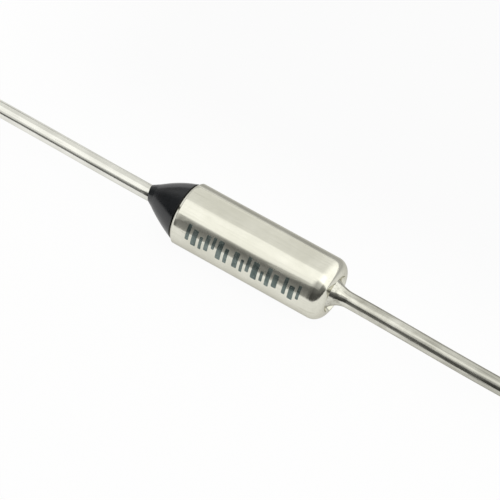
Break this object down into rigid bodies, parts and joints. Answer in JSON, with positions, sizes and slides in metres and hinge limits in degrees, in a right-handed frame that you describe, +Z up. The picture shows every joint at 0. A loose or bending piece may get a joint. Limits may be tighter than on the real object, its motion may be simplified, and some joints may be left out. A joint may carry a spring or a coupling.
{
  "type": "thermal fuse",
  "caption": "Axial thermal fuse: plated can with a rounded closed end, black epoxy cone at the rolled rim, straight wire leads, and a sprung contact held shut by a pellet inside.",
  "frame": {"origin": "on the common axis, in the middle of the can between its rolled rim and its closed end", "axes": "+X along the axis towards the closed end and the case lead, +Z up as it lies on its side"},
  "size_m": [0.0631, 0.004, 0.004],
  "materials": {
    "plated_case": "satin",
    "lead_wire": "satin",
    "pellet": "matte",
    "disc_brass": "satin",
    "spring_steel": "satin",
    "contact_silver": "satin",
    "bushing_ceramic": "matte",
    "epoxy": "satin"
  },
  "bodies": {
    "can": {"case": "plated_case", "case_lead": "lead_wire", "thermal_pellet": "pellet", "trip_spring": "spring_steel", "ceramic_bushing": "bushing_ceramic", "isolated_lead": "lead_wire", "epoxy_seal": "epoxy"},
    "contact": {"star_contact": "contact_silver", "contact_disc": "disc_brass", "barrel_spring": "spring_steel"},
    "pellet_plate": {"pellet_disc": "disc_brass"}
  },
  "joints": [
    {"name": "contact_stroke", "type": "slide", "parent": "can", "child": "contact", "axis": [1, 0, 0], "range_m": [0, 0.0008], "stiffness_N_per_m": 4, "deforming": ["trip_spring", "thermal_pellet"]},
    {"name": "pellet_disc_stroke", "type": "slide", "parent": "contact", "child": "pellet_plate", "axis": [1, 0, 0], "range_m": [0, 0.0011], "deforming": ["barrel_spring"]}
  ],
  "couplings": [
    {"joint": "pellet_disc_stroke", "follows": "contact_stroke", "ratio": 1.375}
  ]
}
